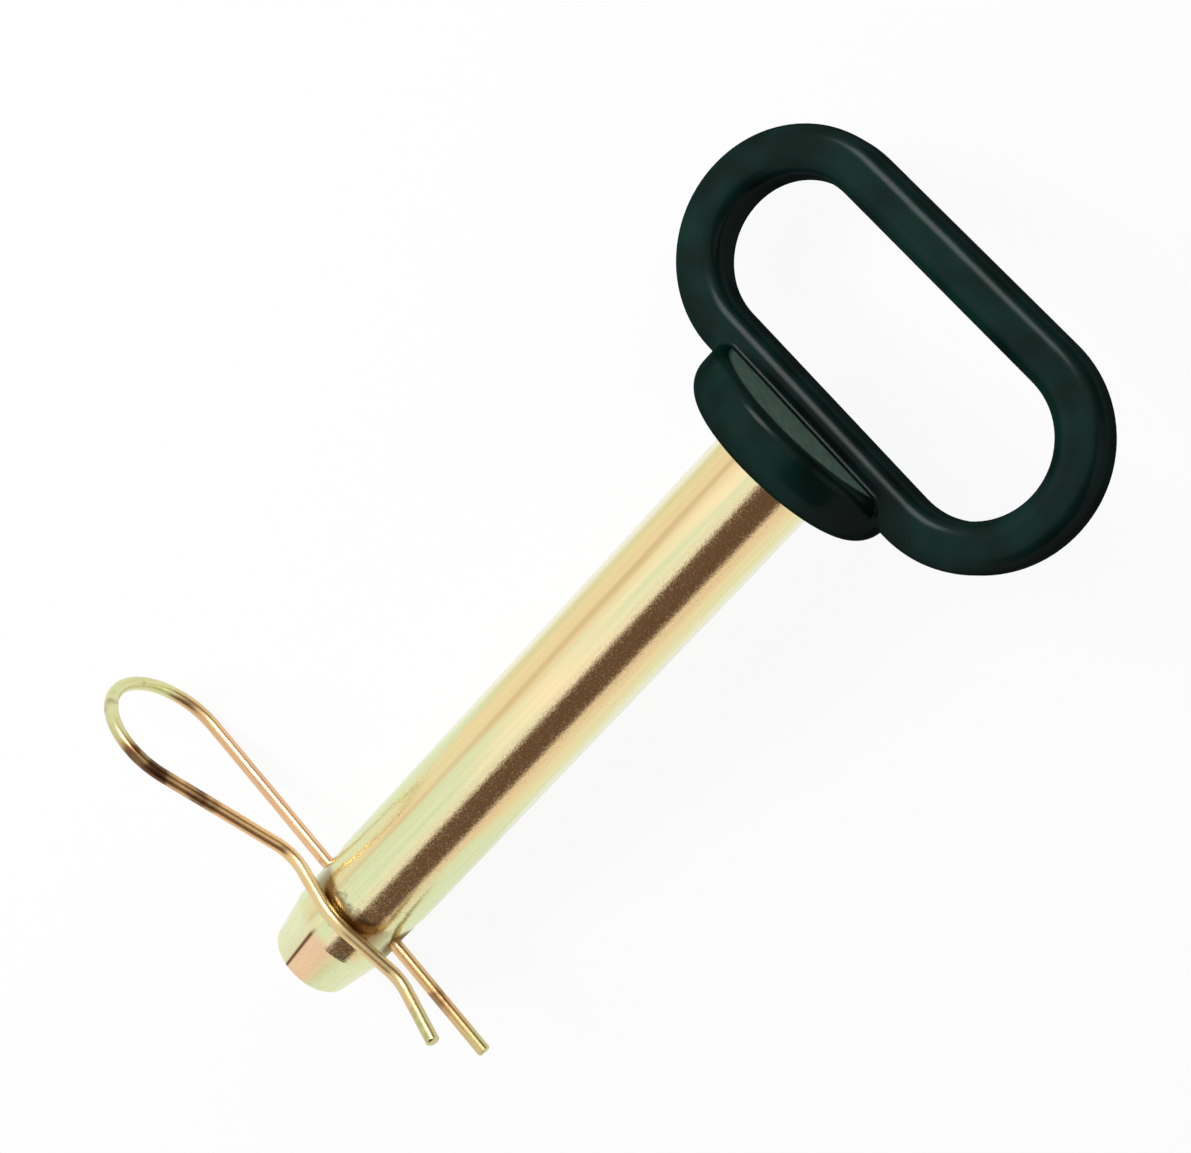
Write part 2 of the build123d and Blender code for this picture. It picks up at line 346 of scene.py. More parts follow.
@dataclass(frozen=True)
class YellowZincPlate:
    """Zinc plate with a yellow chromate dip, on cold-drawn and turned steel.

    The chromate film is so thin that its colour drifts between straw, cream, blush and
    pale green. The pin hangs by its handle while it drains, so the film lies in long
    bands down the shank and is greenest near the tip. Reflections are painted into the
    bands about the axis: a light edge line, a dark streak line and a highlight over the
    top of the shank, and down the tip's taper a dark reflection line beside a lit blush
    panel. Round the cross hole and under the clip the colour is darkened, partly as
    pooled chromate and wear and partly as painted shade. Fine crystal grain leaves some
    spots duller than others, which speckles the edges of what the plate reflects.
    """

    place: PinFrame
    # Film colours over one turn about the axis, with the top of the shank at 0.5. Painted
    # reflections lie among them: a light edge line near 0.35, a dark streak line near 0.44
    # and a painted highlight of the brightest cream over the top. Where green may not cover
    # a colour fully, a fourth pair of digits says how far it may.
    bands: tuple[tuple[float, str], ...] = (
        (0.0, "#E9D6A0"),
        (0.25, "#E6E2B4"),
        (0.345, "#EEEAC9"),
        (0.375, "#DAD097"),
        (0.404, "#E8D49CA0"),
        (0.432, "#F0D79F90"),
        (0.441, "#DBBF8BA0"),
        (0.447, "#DBBF8BA0"),
        (0.458, "#F1D8A4"),
        (0.48, "#FDE7B5"),
        (0.512, "#FDE9B9"),
        (0.535, "#FCE4B580"),
        (0.56, "#EBCB9C00"),
        (0.61, "#E8C79600"),
        (0.6465, "#E9CD9980"),
        (0.669, "#ECDCA6"),
        (0.694, "#E8E0AA"),
        (0.735, "#EEF0D0"),
        (0.77, "#E4E8BA"),
        (1.0, "#E9D6A0"),
    )
    # The same for the tip's taper, with a painted dark reflection line between the taper's
    # pale green and a painted lit blush panel.
    tip_bands: tuple[tuple[float, str], ...] = (
        (0.0, "#DCE0B0"),
        (0.44, "#E2E4B8"),
        (0.474, "#E3DDB0"),
        (0.479, "#6B4630"),
        (0.485, "#6B4630"),
        (0.49, "#EBC8A0"),
        (0.555, "#EAC69E"),
        (0.59, "#D8D5A2"),
        (0.62, "#DCE2B2"),
        (1.0, "#DCE0B0"),
    )
    green: str = "#DAE2B0"
    # Colour of the darkening round the hole and under the clip, partly stain and partly painted shade.
    stain_and_shade: str = "#6E4A2C"
    # Roughness between the grain's bright spots and its dull ones.
    roughness: float = 0.13
    dull_spot: float = 0.36
    # Width of a patch of film in millimetres, its width over its length, and the share of
    # a turn by which it moves the bands.
    patch: float = 7.0
    patch_slimness: float = 0.07
    wander: float = 0.01
    # Green gathers from one height over the hole down to the other, which adds its gain to
    # a noise of its own, moved aside. It shows where the sum passes the edge.
    green_from: float = 78.0
    green_to: float = 18.0
    green_gain: float = 0.3
    green_patch: float = 8.75
    green_aside: tuple[float, float, float] = (41.0, 17.0, 5.0)
    green_edge: tuple[float, float] = (0.62, 0.78)
    green_most: float = 0.95
    # The tip's colours come in between two heights under the hole and go out towards the
    # end face.
    tip_from: float = -6.0
    tip_to: float = -8.5
    end_radius: float = 10.0
    end_edge: float = 1.4
    # About a millimetre apart, along the axis.
    lines: DrawLines = DrawLines(
        spacing=0.9, height=0.01, slimness=(1.0, 1.0, 0.02), shades=(0.95, 1.04), detail=3.0
    )
    # Crystal grain: its width, its height, and where in its noise the dull spots lie.
    grain: float = 0.5
    grain_height: float = 0.024
    grain_edge: tuple[float, float] = (0.46, 0.72)
    # Darkening round the hole, partly pooled chromate and partly painted shade in the
    # countersinks: how far it reaches round the hole, its soft edge and its strength.
    stain_and_shade_radius: float = 6.4
    stain_and_shade_edge: float = 2.4
    stain_and_shade_most: float = 0.85
    # The band under the clip, partly rubbed wear and partly painted shade where the waved
    # leg crosses the shank: how far it reaches from its middle, less the rag, its soft edge,
    # how far its middle lies from the hole towards the handle, and its strength. It comes in
    # from one height over the axis to the other. The rag has a width and a reach.
    rub_and_shade_width: float = 7.2
    rub_and_shade_edge: float = 2.6
    rub_and_shade_shift: float = 1.1
    rub_and_shade_most: float = 0.78
    rub_and_shade_heights: tuple[float, float] = (2.5, 10.5)
    rag: float = 1.6
    rag_reach: float = 5.0

    def material(self) -> bpy.types.Material:
        """Builds the plate's nodes.

        Returns:
            The material.
        """
        made, tree = blank_material("yellow_zinc_plated_steel")
        pin_mm = self.place.coordinates(tree, self.place.hole)
        parts = add_node(tree, "ShaderNodeSeparateXYZ", Vector=pin_mm)
        drawn_out = add_node(
            tree, "ShaderNodeMapping", Vector=pin_mm, Scale=(1, 1, self.patch_slimness)
        ).outputs["Vector"]
        patches = add_node(
            tree, "ShaderNodeTexNoise", Vector=drawn_out, Scale=1 / self.patch, Detail=2.5, Roughness=0.5
        )
        film_and_painted_reflection = self.film_and_painted_reflection(tree, pin_mm, parts, drawn_out, patches.outputs["Fac"])
        stained_and_shaded = self.stains_and_shade(tree, pin_mm, parts, film_and_painted_reflection)
        lined, ridges = self.lines.mark(tree, pin_mm, stained_and_shaded)

        # Crystal grain of the plate, drawn coarse enough to show.
        grain = add_node(
            tree, "ShaderNodeTexNoise", Vector=pin_mm, Scale=1 / self.grain, Detail=2, Roughness=0.7
        )
        dull = add_node(
            tree,
            "ShaderNodeMapRange",
            Value=grain.outputs["Fac"],
            From_Min=self.grain_edge[0],
            From_Max=self.grain_edge[1],
            To_Min=self.roughness,
            To_Max=self.dull_spot,
        )
        grain_bump = add_node(
            tree, "ShaderNodeBump", Strength=1.0, Distance=self.grain_height * MM, Height=grain.outputs["Fac"]
        )
        line_bump = add_node(
            tree,
            "ShaderNodeBump",
            Strength=1.0,
            Distance=self.lines.height * MM,
            Height=ridges,
            Normal=grain_bump.outputs["Normal"],
        )

        plate = add_node(
            tree,
            "ShaderNodeBsdfPrincipled",
            Base_Color=lined,
            Metallic=1.0,
            Roughness=dull.outputs[0],
            Normal=line_bump.outputs["Normal"],
        )
        add_node(tree, "ShaderNodeOutputMaterial", Surface=plate.outputs["BSDF"])
        return made

    def film_and_painted_reflection(
        self,
        tree: bpy.types.NodeTree,
        pin_mm: bpy.types.NodeSocket,
        parts: bpy.types.Node,
        drawn_out: bpy.types.NodeSocket,
        patches: bpy.types.NodeSocket,
    ) -> bpy.types.NodeSocket:
        """Colours the chromate film, with its painted reflections, by the angle about the axis and the height
        above the tip.

        Args:
            tree: The material's node tree.
            pin_mm: The pin's coordinates.
            parts: The same, one by one.
            drawn_out: The pin's coordinates, shortened along the axis.
            patches: A noise that makes the bands wander.

        Returns:
            The film's colour with its painted reflections.
        """
        raised = add_node(tree, "ShaderNodeMath", {"operation": "MULTIPLY"}, _0=parts.outputs["Y"], _1=-1.0)
        angle = add_node(
            tree, "ShaderNodeMath", {"operation": "ARCTAN2"}, _0=parts.outputs["X"], _1=raised.outputs[0]
        )
        turn = add_node(
            tree, "ShaderNodeMapRange", Value=angle.outputs[0], From_Min=-math.pi, From_Max=math.pi
        )
        wandering = add_node(
            tree,
            "ShaderNodeMapRange",
            Value=patches,
            From_Min=0.2,
            From_Max=0.8,
            To_Min=-self.wander,
            To_Max=self.wander,
        )
        band = add_node(
            tree, "ShaderNodeMath", {"operation": "ADD"}, _0=turn.outputs[0], _1=wandering.outputs[0]
        )
        # The ramp paints reflections into the film: a light edge line, a dark streak line and a highlight over the
        # top of the shank.
        ramp = add_node(tree, "ShaderNodeValToRGB", Fac=band.outputs[0])
        fill_ramp(ramp.color_ramp, self.bands)

        # Green gathers towards the tip, in patches.
        gathers = add_node(
            tree,
            "ShaderNodeMapRange",
            Value=parts.outputs["Z"],
            From_Min=self.green_from,
            From_Max=self.green_to,
        )
        aside = add_node(
            tree, "ShaderNodeMapping", Vector=drawn_out, Location=self.green_aside
        ).outputs["Vector"]
        drifts = add_node(
            tree, "ShaderNodeTexNoise", Vector=aside, Scale=1 / self.green_patch, Detail=2, Roughness=0.5
        )
        both = add_node(
            tree,
            "ShaderNodeMath",
            {"operation": "MULTIPLY_ADD"},
            _0=gathers.outputs[0],
            _1=self.green_gain,
            _2=drifts.outputs["Fac"],
        )
        gathered = add_node(
            tree,
            "ShaderNodeMapRange",
            {"interpolation_type": "SMOOTHSTEP"},
            Value=both.outputs[0],
            From_Min=self.green_edge[0],
            From_Max=self.green_edge[1],
            To_Max=self.green_most,
        )
        green_share = add_node(
            tree,
            "ShaderNodeMath",
            {"operation": "MULTIPLY"},
            _0=gathered.outputs[0],
            _1=ramp.outputs["Alpha"],
        )
        shank = add_node(
            tree,
            "ShaderNodeMix",
            {"data_type": "RGBA"},
            Factor=green_share.outputs[0],
            _6=ramp.outputs["Color"],
            _7=linear(self.green),
        )

        # Painted reflection down the tip's taper: a dark reflection line, with a lit blush panel beside it.
        tip_film_and_reflection = add_node(tree, "ShaderNodeValToRGB", Fac=turn.outputs[0])
        fill_ramp(tip_film_and_reflection.color_ramp, self.tip_bands)
        near_tip = add_node(
            tree, "ShaderNodeMapRange", Value=parts.outputs["Z"], From_Min=self.tip_from, From_Max=self.tip_to
        )
        off_face = add_node(
            tree,
            "ShaderNodeMapRange",
            Value=self.place.off_axis(tree, pin_mm),
            From_Min=self.end_radius - self.end_edge,
            From_Max=self.end_radius,
        )
        on_taper = add_node(
            tree, "ShaderNodeMath", {"operation": "MULTIPLY"}, _0=near_tip.outputs[0], _1=off_face.outputs[0]
        )
        return add_node(
            tree,
            "ShaderNodeMix",
            {"data_type": "RGBA"},
            Factor=on_taper.outputs[0],
            _6=shank.outputs[2],
            _7=tip_film_and_reflection.outputs["Color"],
        ).outputs[2]

    def stains_and_shade(
        self,
        tree: bpy.types.NodeTree,
        pin_mm: bpy.types.NodeSocket,
        parts: bpy.types.Node,
        film_and_painted_reflection: bpy.types.NodeSocket,
    ) -> bpy.types.NodeSocket:
        """Darkens the film round the countersinks and under the clip: partly pooled chromate and wear, partly
        painted shade.

        Args:
            tree: The material's node tree.
            pin_mm: The pin's coordinates.
            parts: The same, one by one.
            film_and_painted_reflection: The film's colour with its painted reflections.

        Returns:
            The colour with its stains and painted shade.
        """
        across_hole = add_node(
            tree, "ShaderNodeVectorMath", {"operation": "MULTIPLY"}, _0=pin_mm, _1=(0, 1, 1)
        ).outputs["Vector"]
        from_hole = add_node(
            tree, "ShaderNodeVectorMath", {"operation": "LENGTH"}, _0=across_hole
        ).outputs["Value"]
        # Painted shade in and round the countersinks, partly standing for pooled chromate.
        pooled_and_shaded = add_node(
            tree,
            "ShaderNodeMapRange",
            Value=from_hole,
            From_Min=self.stain_and_shade_radius,
            From_Max=self.stain_and_shade_radius - self.stain_and_shade_edge,
            To_Max=self.stain_and_shade_most,
        )
        ragged = add_node(
            tree, "ShaderNodeTexNoise", Vector=pin_mm, Scale=1 / self.rag, Detail=3, Roughness=0.6
        )
        towards_handle = add_node(
            tree, "ShaderNodeMath", {"operation": "SUBTRACT"}, _0=parts.outputs["Z"], _1=self.rub_and_shade_shift
        )
        spread = add_node(tree, "ShaderNodeMath", {"operation": "ABSOLUTE"}, _0=towards_handle.outputs[0])
        uneven = add_node(
            tree,
            "ShaderNodeMath",
            {"operation": "MULTIPLY_ADD"},
            _0=ragged.outputs["Fac"],
            _1=self.rag_reach,
            _2=spread.outputs[0],
        )
        # Painted shade under the waved leg where it crosses the shank, partly standing for wear.
        wear_and_painted_light = add_node(
            tree,
            "ShaderNodeMapRange",
            {"interpolation_type": "SMOOTHSTEP"},
            Value=uneven.outputs[0],
            From_Min=self.rub_and_shade_width,
            From_Max=self.rub_and_shade_width - self.rub_and_shade_edge,
            To_Max=self.rub_and_shade_most,
        )
        on_top = add_node(
            tree,
            "ShaderNodeMapRange",
            {"interpolation_type": "SMOOTHSTEP"},
            Value=parts.outputs["Y"],
            From_Min=-self.rub_and_shade_heights[0],
            From_Max=-self.rub_and_shade_heights[1],
        )
        worn_and_shaded_under_clip = add_node(
            tree, "ShaderNodeMath", {"operation": "MULTIPLY"}, _0=wear_and_painted_light.outputs[0], _1=on_top.outputs[0]
        )
        share = add_node(
            tree, "ShaderNodeMath", {"operation": "MAXIMUM"}, _0=pooled_and_shaded.outputs[0], _1=worn_and_shaded_under_clip.outputs[0]
        )
        return add_node(
            tree,
            "ShaderNodeMix",
            {"data_type": "RGBA"},
            Factor=share.outputs[0],
            _6=film_and_painted_reflection,
            _7=linear(self.stain_and_shade),
        ).outputs[2]


@dataclass(frozen=True)
class DippedCoating:
    """Vinyl plastisol that the hot head was dipped in, then oven cured.

    It cures to a smooth near-black green skin. It runs a little before it sets, so the
    skin is slightly wavy and soft highlights wander along it. The flat ledge of the
    collar, which a hand or a drawbar rubs, is dulled to a grey green, and painted lighter
    than wear alone to stand for the light that falls on it.
    """

    place: PinFrame
    skin: str = "#071A15"
    thin: str = "#0D2822"
    # The ledge's grey green, partly wear and partly painted light.
    dulled_and_lit: str = "#718D81"
    # The ledge: its height over the collar's underside and its radius, in millimetres. The
    # dulling comes in over the width of the rim, and between two heights counted from the
    # ledge, and goes out between two more.
    ledge: float = 12.2
    ledge_radius: float = 23.4
    ledge_rim: float = 1.2
    ledge_in: tuple[float, float] = (-0.35, -0.05)
    ledge_out: tuple[float, float] = (0.12, 0.03)
    # How far the ledge is dulled and painted lighter, where the peel is low and where it is high.
    dulling_and_light: tuple[float, float] = (0.55, 0.95)
    # Waves of the skin and its fine peel, each with its width and its height.
    wave: float = 9.0
    wave_height: float = 0.12
    peel: float = 1.6
    peel_height: float = 0.006
    # Gloss of the skin seen square on and aslant, the two values between which it passes
    # from one to the other, of 0 square on to 1 edge on, and how rough each layer is.
    gloss_square: float = 0.19
    gloss_aslant: float = 0.015
    gloss_facing: tuple[float, float] = (0.1, 0.7)
    gloss_roughness: float = 0.24
    body_roughness: float = 0.5

    def material(self) -> bpy.types.Material:
        """Builds the coating's nodes.

        Returns:
            The material.
        """
        made, tree = blank_material("dipped_plastisol_skin")
        at_mm = self.place.coordinates(tree, self.place.collar)
        waves = add_node(
            tree, "ShaderNodeTexNoise", Vector=at_mm, Scale=1 / self.wave, Detail=1.5, Roughness=0.4
        )
        peel = add_node(
            tree, "ShaderNodeTexNoise", Vector=at_mm, Scale=1 / self.peel, Detail=2, Roughness=0.5
        )
        thin_share = add_node(
            tree, "ShaderNodeMapRange", Value=waves.outputs["Fac"], From_Min=0.35, From_Max=0.65
        ).outputs["Result"]
        colour = add_node(
            tree,
            "ShaderNodeMix",
            {"data_type": "RGBA"},
            Factor=thin_share,
            _6=linear(self.skin),
            _7=linear(self.thin),
        )

        # The ledge is the flat ring on the handle's side of the collar. Its grey green is partly
        # wear and partly painted light.
        height = add_node(tree, "ShaderNodeSeparateXYZ", Vector=at_mm).outputs["Z"]
        within = add_node(
            tree,
            "ShaderNodeMapRange",
            Value=self.place.off_axis(tree, at_mm),
            From_Min=self.ledge_radius,
            From_Max=self.ledge_radius - self.ledge_rim,
        )
        above, below = (
            add_node(
                tree,
                "ShaderNodeMapRange",
                Value=height,
                From_Min=self.ledge + start,
                From_Max=self.ledge + end,
            )
            for start, end in (self.ledge_in, self.ledge_out)
        )
        level = add_node(
            tree, "ShaderNodeMath", {"operation": "MULTIPLY"}, _0=above.outputs[0], _1=below.outputs[0]
        )
        on_ledge = add_node(
            tree, "ShaderNodeMath", {"operation": "MULTIPLY"}, _0=level.outputs[0], _1=within.outputs[0]
        )
        # How far the ledge is dulled and painted lighter, varied by the peel.
        wear_and_painted_light = add_node(
            tree,
            "ShaderNodeMapRange",
            Value=peel.outputs["Fac"],
            From_Min=0.2,
            From_Max=0.8,
            To_Min=self.dulling_and_light[0],
            To_Max=self.dulling_and_light[1],
        )
        dull_and_lit_share = add_node(
            tree, "ShaderNodeMath", {"operation": "MULTIPLY"}, _0=on_ledge.outputs[0], _1=wear_and_painted_light.outputs[0]
        )
        worn_and_lit = add_node(
            tree,
            "ShaderNodeMix",
            {"data_type": "RGBA"},
            Factor=dull_and_lit_share.outputs[0],
            _6=colour.outputs[2],
            _7=linear(self.dulled_and_lit),
        )

        wave_bump = add_node(
            tree, "ShaderNodeBump", Strength=1.0, Distance=self.wave_height * MM, Height=waves.outputs["Fac"]
        )
        peel_bump = add_node(
            tree,
            "ShaderNodeBump",
            Strength=1.0,
            Distance=self.peel_height * MM,
            Height=peel.outputs["Fac"],
            Normal=wave_bump.outputs["Normal"],
        )
        facing = add_node(tree, "ShaderNodeLayerWeight", Blend=0.5)
        gloss = add_node(
            tree,
            "ShaderNodeMapRange",
            Value=facing.outputs["Facing"],
            From_Min=self.gloss_facing[0],
            From_Max=self.gloss_facing[1],
            To_Min=self.gloss_square,
            To_Max=self.gloss_aslant,
        )
        coating = add_node(
            tree,
            "ShaderNodeBsdfPrincipled",
            Base_Color=worn_and_lit.outputs[2],
            Roughness=self.body_roughness,
            Specular_IOR_Level=0.0,
            Normal=peel_bump.outputs["Normal"],
            Coat_Weight=gloss.outputs[0],
            Coat_Roughness=self.gloss_roughness,
            Coat_Normal=peel_bump.outputs["Normal"],
        )
        add_node(tree, "ShaderNodeOutputMaterial", Surface=coating.outputs["BSDF"])
        return made


@dataclass(frozen=True)
class PlatedSpringWire:
    """Hard-drawn spring wire, bent to shape and then zinc plated with a yellow chromate dip.

    The film's colour drifts along the wire, tan and blush on the legs and greener round
    the loop and at the cut ends. A dark brown stretch near the loop's end and scattered
    umber patches are painted dark reflections. The drawing die leaves fine lines that
    follow the wire round every bend.
    """

    # Film colours along the wire from the straight leg's cut end. The dark brown around 157
    # to 167, near the loop's end, is a painted dark reflection. The last place is the wire's
    # other end.
    film_and_painted_reflection: tuple[tuple[float, str], ...] = (
        (0.0, "#CFCB90"),
        (12.0, "#E0BC84"),
        (30.0, "#E9C08E"),
        (60.0, "#F0C69A"),
        (88.0, "#EDBE94"),
        (106.0, "#E2BC88"),
        (118.0, "#DEDCA2"),
        (140.0, "#DCDDA6"),
        (151.0, "#CFB07C"),
        (157.0, "#6B4D34"),
        (167.0, "#6B4D34"),
        (175.0, "#E9BC84"),
        (192.0, "#F0C890"),
        (212.0, "#E8CF9A"),
        (236.0, "#E4C48E"),
        (252.0, "#CFCB92"),
    )
    dark_reflection_umber: str = "#7A5030"
    roughness: float = 0.3
    # Width of a patch of film, and how far it moves the colours along the wire.
    patch: float = 9.0
    wander: float = 9.0
    # Painted dark reflections, in umber, lie where a noise of its own, moved aside, falls below the edge.
    umber_patch: float = 7.5
    umber_aside: tuple[float, float, float] = (130.0, 9.0, 4.0)
    umber_edge: tuple[float, float] = (0.4, 0.3)
    umber_most: float = 0.7
    lines: DrawLines = DrawLines(
        spacing=0.35, height=0.003, slimness=(0.03, 1.0, 1.0), shades=(0.84, 1.04), detail=2.0
    )

    def material(self, total: float) -> bpy.types.Material:
        """Builds the wire's nodes, on the wire's own straightened coordinates in millimetres.

        Args:
            total: The wire's length in millimetres.

        Returns:
            The material.
        """
        made, tree = blank_material("yellow_zinc_plated_spring_wire")
        straight = add_node(tree, "ShaderNodeAttribute", {"attribute_name": "straightened"}).outputs["Vector"]
        run = add_node(tree, "ShaderNodeSeparateXYZ", Vector=straight).outputs["X"]
        patches = add_node(
            tree, "ShaderNodeTexNoise", Vector=straight, Scale=1 / self.patch, Detail=2, Roughness=0.5
        )
        drift = add_node(
            tree,
            "ShaderNodeMapRange",
            Value=patches.outputs["Fac"],
            From_Min=0.3,
            From_Max=0.7,
            To_Min=-self.wander,
            To_Max=self.wander,
        )
        along = add_node(tree, "ShaderNodeMath", {"operation": "ADD"}, _0=run, _1=drift.outputs[0])
        share = add_node(tree, "ShaderNodeMath", {"operation": "DIVIDE"}, _0=along.outputs[0], _1=total)
        # The film ramp carries a painted dark reflection near the loop's end.
        ramp = add_node(tree, "ShaderNodeValToRGB", Fac=share.outputs[0])
        last = self.film_and_painted_reflection[-1][0]
        fill_ramp(ramp.color_ramp, tuple((at / last, colour) for at, colour in self.film_and_painted_reflection))
        # Umber patches are painted dark reflections on the wire.
        aside = add_node(
            tree, "ShaderNodeMapping", Vector=straight, Location=self.umber_aside
        ).outputs["Vector"]
        dark_reflection_patches = add_node(
            tree, "ShaderNodeTexNoise", Vector=aside, Scale=1 / self.umber_patch, Detail=2, Roughness=0.5
        )
        dark_reflection_share = add_node(
            tree,
            "ShaderNodeMapRange",
            Value=dark_reflection_patches.outputs["Fac"],
            From_Min=self.umber_edge[0],
            From_Max=self.umber_edge[1],
            To_Max=self.umber_most,
        )
        coloured = add_node(
            tree,
            "ShaderNodeMix",
            {"data_type": "RGBA"},
            Factor=dark_reflection_share.outputs[0],
            _6=ramp.outputs["Color"],
            _7=linear(self.dark_reflection_umber),
        ).outputs[2]
        lined, ridges = self.lines.mark(tree, straight, coloured)
        bump = add_node(
            tree, "ShaderNodeBump", Strength=1.0, Distance=self.lines.height * MM, Height=ridges
        )
        plate = add_node(
            tree,
            "ShaderNodeBsdfPrincipled",
            Base_Color=lined,
            Metallic=1.0,
            Roughness=self.roughness,
            Normal=bump.outputs["Normal"],
        )
        add_node(tree, "ShaderNodeOutputMaterial", Surface=plate.outputs["BSDF"])
        return made


@dataclass
class HairpinCotter:
    """The hairpin cotter: one wire, with a straight leg, a round loop and a waved leg.

    Its plane holds the cross hole. X runs along the hole towards the cut ends and Y out
    of the shank. Radii are to the middle of the wire. All sizes are in millimetres.
    """

    place: PinFrame
    finish: PlatedSpringWire = field(default_factory=PlatedSpringWire)
    wire_diameter: float = 3.2
    end_chamfer: float = 0.4
    leg_reach: float = 44.8
    leg_height: float = 0.8
    loop: Bend = Bend((-56.8, 17.4), 16.6, -1)
    near_neck: Bend = Bend((-16.0, 20.7), 10.0, 1)
    crown: Bend = Bend((0.0, -2.75), 17.0, -1)
    far_neck: Bend = Bend((20.0, 19.4), 10.0, 1)
    flare_angle: float = 20.0
    flare_reach: float = 36.8
    # The mesh: rings this far apart along the wire, or this close beside an edge to keep
    # it crisp, with this many points each.
    step: float = 0.6
    edge_step: float = 0.04
    sides: int = 32

    @staticmethod
    def run_between(a: Bend, b: Bend) -> float:
        """Heading of the straight run that leaves one bend and meets the next at a tangent.

        The run's two ends stand off the bends' centres by the radii, each on the side
        that its bend turns to, so the heading is the centres' own less the angle whose
        sine is the difference of the two stand-offs over the distance of the centres.

        Args:
            a: The bend that the run leaves.
            b: The bend that it meets.

        Returns:
            The heading in radians.
        """
        across, up = b.centre[0] - a.centre[0], b.centre[1] - a.centre[1]
        offset = b.turn * b.radius - a.turn * a.radius
        return math.atan2(up, across) - math.asin(offset / math.hypot(across, up))

    @staticmethod
    def edge(bend: Bend, heading: float) -> np.ndarray:
        """The point of a bend at which the wire has this heading."""
        stand_off = bend.turn * bend.radius
        return np.array(
            [bend.centre[0] + stand_off * math.sin(heading), bend.centre[1] - stand_off * math.cos(heading)]
        )

    def stretches(self) -> list[tuple[float, float, float]]:
        """Works out each stretch of the wire as its first heading, its length and its curvature.

        Returns:
            The stretches in order from the straight leg's cut end. A straight run has a
            curvature of zero and a bend has one over its radius, positive to the left.
        """
        bends = [self.loop, self.near_neck, self.crown, self.far_neck]
        headings = [math.pi]
        headings += [self.run_between(a, b) for a, b in zip(bends, bends[1:])]
        headings += [math.radians(self.flare_angle)]
        point = np.array([self.leg_reach, self.leg_height])
        found = []
        for bend, before, after in zip(bends, headings, headings[1:]):
            start = self.edge(bend, before)
            found.append((before, float(np.hypot(*(start - point))), 0.0))
            found.append((before, bend.radius * abs(after - before), bend.turn / bend.radius))
            point = self.edge(bend, after)
        last = (self.flare_reach - point[0]) / math.cos(headings[-1])
        return found + [(headings[-1], last, 0.0)]

    @property
    def total(self) -> float:
        """The wire's whole length."""
        return sum(length for _, length, _ in self.stretches())

    @staticmethod
    def travelled(heading: np.ndarray, far: np.ndarray, curve: np.ndarray) -> np.ndarray:
        """How far stretches go in the plane, over distances along them.

        A straight run goes the distance times its heading. A bend goes the change of the
        heading's sine and minus its cosine, over the curvature.

        Args:
            heading: Headings at the stretches' starts.
            far: Distances along them.
            curve: Their curvatures.

        Returns:
            The ways gone, of shape (len(far), 2).
        """
        straight = far[:, None] * np.stack([np.cos(heading), np.sin(heading)], -1)
        after = heading + curve * far
        safe = np.where(curve == 0, 1.0, curve)[:, None]
        arc = np.stack([np.sin(after) - np.sin(heading), np.cos(heading) - np.cos(after)], -1) / safe
        return np.where(curve[:, None] == 0, straight, arc)

    def centre_line(self, run: np.ndarray) -> tuple[np.ndarray, np.ndarray]:
        """Places points on the wire's middle by their distance along it.

        Within a stretch the heading grows by the curvature times the distance, and the
        point is the stretch's start plus the integral of the heading: a straight line,
        or an arc by the sines and cosines of its two headings.

        Args:
            run: Distances from the straight leg's cut end, in millimetres.

        Returns:
            The points and the unit headings, in the cotter's plane, of shape (len(run), 2).
        """
        heading, length, curve = (np.array(column) for column in zip(*self.stretches()))
        ends = np.cumsum(length)
        steps = self.travelled(heading, length, curve)
        first = np.array([self.leg_reach, self.leg_height]) + np.vstack(
            [np.zeros(2), np.cumsum(steps, 0)[:-1]]
        )
        which = np.clip(np.searchsorted(ends, run), 0, len(length) - 1)
        far = run - (ends - length)[which]
        points = first[which] + self.travelled(heading[which], far, curve[which])
        at = heading[which] + curve[which] * far
        return points, np.stack([np.cos(at), np.sin(at)], -1)

    def mesh(self) -> bpy.types.Mesh:
        """Carries the wire's round section along its centre line.

        A point of the skin is the centre line's point plus the radius times the cosine of
        the angle round the wire along the in-plane normal, plus its sine along the
        plane's own normal. The radius shrinks over the chamfer at the two cut ends.

        Returns:
            The wire's mesh, with its straightened coordinates in millimetres.
        """
        total = self.total
        radius = self.wire_diameter / 2
        cut, rim = self.end_chamfer, radius - self.end_chamfer
        tight = self.edge_step
        end_run = np.array([0, 0, 0, tight, cut - tight, cut, cut + tight])
        end_radius = np.array([rim / 2, rim - tight, rim, rim + tight, radius - tight, radius, radius])
        middle = np.arange(cut + 2 * tight, total - cut - 2 * tight, self.step)
        run = np.concatenate([end_run, middle, total - end_run[::-1]])
        size = np.concatenate([end_radius, np.full(len(middle), radius), end_radius[::-1]])
        points, heading = self.centre_line(run)
        angle = np.linspace(0, 2 * np.pi, self.sides, endpoint=False)
        along, up = np.array(self.place.hole_along), np.array(self.place.hole_up)
        out = np.cross(up, along)
        to_row = np.stack([along, up])
        centre = np.array(self.place.hole) / MM + points @ to_row
        normal = np.stack([-heading[:, 1], heading[:, 0]], -1) @ to_row
        ring_n = size[:, None, None] * np.cos(angle)[None, :, None] * normal[:, None, :]
        ring_b = size[:, None, None] * np.sin(angle)[None, :, None] * out
        grid = centre[:, None, :] + ring_n + ring_b
        mesh = surface_mesh("hairpin_wire", grid * MM, Around.CLOSED)
        flat = np.stack(
            [
                np.broadcast_to(run[:, None], (len(run), self.sides)),
                size[:, None] * np.cos(angle)[None, :],
                size[:, None] * np.sin(angle)[None, :],
            ],
            -1,
        ).reshape(-1, 3)
